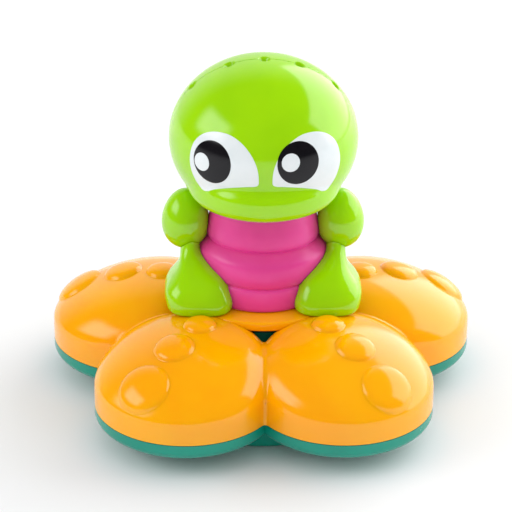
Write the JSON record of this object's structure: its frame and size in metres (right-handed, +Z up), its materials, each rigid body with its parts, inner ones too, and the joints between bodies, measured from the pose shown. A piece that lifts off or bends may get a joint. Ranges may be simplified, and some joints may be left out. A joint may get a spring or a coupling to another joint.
{
  "type": "bath toy turtle",
  "caption": "Floating bath fountain toy: a turtle with a ribbed belly sits on a lobed star float whose pump sprays water from holes in the head.",
  "frame": {"origin": "on the hub axis of the star float, at the flat bottom of the hull", "axes": "+Z up, -Y the way the turtle looks, +X to the right of someone who faces it"},
  "size_m": [0.1796, 0.1743, 0.1494],
  "materials": {
    "orange": "glossy moulded plastic",
    "teal": "satin moulded plastic",
    "pink": "satin moulded plastic",
    "green": "glossy moulded plastic",
    "white_ink": "glossy pad-printed ink",
    "black_ink": "glossy pad-printed ink",
    "natural": "unpainted translucent plastic",
    "charcoal": "matte moulded plastic",
    "seal": "matte rubber",
    "steel": "bright zinc-plated steel",
    "laminate": "solder-masked glass laminate",
    "cell_sleeve": "shrink sleeve"
  },
  "bodies": {
    "root": {"star_shell": "orange", "base_hull": "teal", "well_tray": "teal", "deck": "orange", "intake_grille": "teal", "body_shell": "pink", "carapace": "pink", "head_front": "green", "head_rear": "green", "arm_left": "green", "arm_right": "green", "leg_left": "green", "leg_right": "green", "eye_white_left": "white_ink", "eye_white_right": "white_ink", "pupil_left": "black_ink", "pupil_right": "black_ink", "glint_left": "white_ink", "glint_right": "white_ink", "hull_gasket": "seal", "inner_gasket": "seal", "shaft_seal": "seal", "pump_casing": "natural", "riser_tube": "natural", "spray_manifold": "natural", "motor_can": "steel", "motor_end_cap": "charcoal", "tact_switch": "charcoal", "circuit_board": "laminate", "battery_1": "cell_sleeve", "battery_2": "cell_sleeve", "battery_3": "cell_sleeve", "contact_plate_1": "steel", "contact_plate_2": "steel", "contact_plate_3": "steel", "contact_spring_1": "steel", "contact_spring_2": "steel", "contact_spring_3": "steel", "hull_screw_1": "steel", "hull_screw_2": "steel", "hull_screw_3": "steel", "hull_screw_4": "steel", "hull_screw_5": "steel", "deck_screw_1": "steel", "deck_screw_2": "steel", "deck_screw_3": "steel", "turtle_screw_1": "steel", "turtle_screw_2": "steel", "turtle_screw_3": "steel", "neck_screw_1": "steel", "neck_screw_2": "steel"},
    "rotor": {"impeller": "natural", "motor_shaft": "steel"},
    "button": {"power_button": "orange"},
    "door": {"battery_door": "teal", "door_gasket": "seal", "door_screw_1": "steel", "door_screw_2": "steel"}
  },
  "joints": [
    {"name": "rotor_spin", "type": "hinge", "parent": "root", "child": "rotor", "pos_m": [0, -0.016, 0.0044], "axis": [0, 0, 1], "continuous": true},
    {"name": "button_press", "type": "slide", "parent": "root", "child": "button", "axis": [0, 0, 1], "range_m": [0, 0.0012], "stiffness_N_per_m": 800, "springref_m": -0.0005},
    {"name": "door_lift", "type": "slide", "parent": "root", "child": "door", "axis": [0, 0, -1], "range_m": [0, 0.03]}
  ]
}
